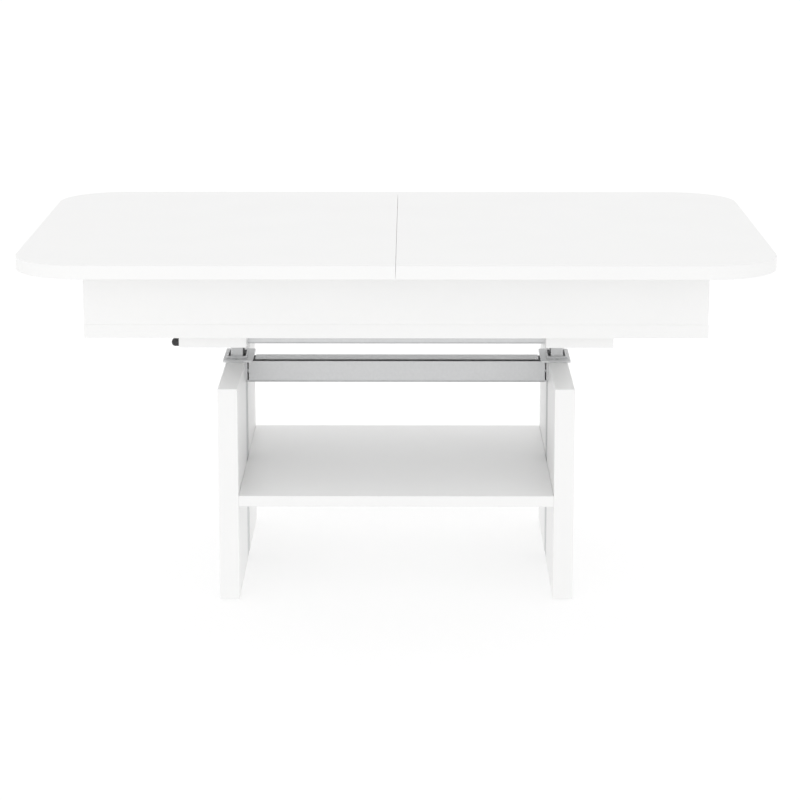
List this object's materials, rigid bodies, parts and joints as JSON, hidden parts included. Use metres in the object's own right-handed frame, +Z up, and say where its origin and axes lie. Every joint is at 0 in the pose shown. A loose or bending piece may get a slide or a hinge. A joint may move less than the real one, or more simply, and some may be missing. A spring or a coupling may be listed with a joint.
{
  "type": "lift top coffee table",
  "caption": "White coffee table whose top rises on two columns in its panel legs and pulls apart over a box that stores a leaf.",
  "frame": {"origin": "centre of the table's footprint, on the floor", "axes": "+X along the table to its right end, +Y to its back, +Z up"},
  "size_m": [1.2, 0.75, 0.58],
  "materials": {
    "white_laminate": "white laminated board with matching edge band, satin",
    "galvanised_sheet": "galvanised sheet steel, fine mottled zinc",
    "zinc_steel": "zinc plated sheet and bar",
    "screw_steel": "zinc plated screws",
    "rail_aluminium": "extruded aluminium, natural",
    "liner_plastic": "natural acetal, matt",
    "white_plastic": "white screw caps, matt",
    "grey_plastic": "grey moulded plastic, matt",
    "black_plastic": "black moulded plastic, fine texture",
    "black_steel": "black enamel",
    "grey_enamel": "dark grey enamelled steel, matt",
    "chromed_rod": "hard chromed rod, polished",
    "beech": "bare beech",
    "felt": "grey felt"
  },
  "bodies": {
    "base": {"leg_left": "white_laminate", "leg_right": "white_laminate", "guide_sleeve_left": "grey_enamel", "guide_sleeve_right": "grey_enamel", "guide_liners_left": "black_plastic", "guide_liners_right": "black_plastic", "collar_left": "galvanised_sheet", "collar_right": "galvanised_sheet", "shelf": "white_laminate", "cross_beam": "galvanised_sheet", "cross_beam_cover": "galvanised_sheet", "shaft_bearings": "liner_plastic", "gas_spring_cylinder": "black_steel", "floor_glides": "grey_plastic", "shelf_screws": "screw_steel", "shelf_screw_caps": "white_plastic", "collar_screws": "screw_steel", "cross_beam_screws": "screw_steel"},
    "lift": {"column_left": "galvanised_sheet", "column_right": "galvanised_sheet", "rack_left": "zinc_steel", "rack_right": "zinc_steel", "head_plate_left": "galvanised_sheet", "head_plate_right": "galvanised_sheet", "cross_board_left": "white_laminate", "cross_board_right": "white_laminate", "tie_rail_front": "galvanised_sheet", "tie_rail_rear": "galvanised_sheet", "apron_front": "white_laminate", "apron_rear": "white_laminate", "apron_left": "white_laminate", "apron_right": "white_laminate", "slide_rail_front": "rail_aluminium", "slide_rail_rear": "rail_aluminium", "box_bottom": "white_laminate", "extension_leaf": "white_laminate", "leaf_dowels": "beech", "leaf_pads": "felt", "gas_spring_rod": "chromed_rod", "gas_spring_head": "zinc_steel", "release_brackets": "zinc_steel", "head_plate_screws": "screw_steel", "box_screws": "screw_steel", "rail_screws": "screw_steel"},
    "sync_shaft": {"sync_shaft": "zinc_steel", "pinion_left": "zinc_steel", "pinion_right": "zinc_steel"},
    "release_lever": {"release_shaft": "zinc_steel", "release_lever": "zinc_steel", "release_knob": "black_plastic"},
    "release_pin": {"release_pin": "zinc_steel"},
    "top_left": {"tabletop_left": "white_laminate", "runner_front_left": "rail_aluminium", "runner_rear_left": "rail_aluminium", "runner_screws_left": "screw_steel", "seam_dowels": "beech"},
    "top_right": {"tabletop_right": "white_laminate", "runner_front_right": "rail_aluminium", "runner_rear_right": "rail_aluminium", "runner_screws_right": "screw_steel"}
  },
  "joints": [
    {"name": "lift_slide", "type": "slide", "parent": "base", "child": "lift", "axis": [0, 0, 1], "range_m": [0, 0.17]},
    {"name": "sync_spin", "type": "hinge", "parent": "base", "child": "sync_shaft", "pos_m": [0, -0.004, 0.33575], "axis": [-1, 0, 0], "range_deg": [-5, 1305]},
    {"name": "top_left_slide", "type": "slide", "parent": "lift", "child": "top_left", "axis": [-1, 0, 0], "range_m": [0, 0.2]},
    {"name": "top_right_slide", "type": "slide", "parent": "lift", "child": "top_right", "axis": [1, 0, 0], "range_m": [0, 0.2]},
    {"name": "release_hinge", "type": "hinge", "parent": "lift", "child": "release_lever", "pos_m": [-0.312, 0, 0.406], "axis": [0, 1, 0], "range_deg": [0, 6], "stiffness_Nm_per_rad": 4},
    {"name": "release_pin_slide", "type": "slide", "parent": "lift", "child": "release_pin", "axis": [0, 0, 1], "range_m": [-0.0045, 0]}
  ],
  "couplings": [
    {"joint": "sync_spin", "follows": "lift_slide", "rad_per_m": 133.33},
    {"joint": "release_pin_slide", "follows": "release_hinge", "m_per_rad": -0.04225}
  ]
}
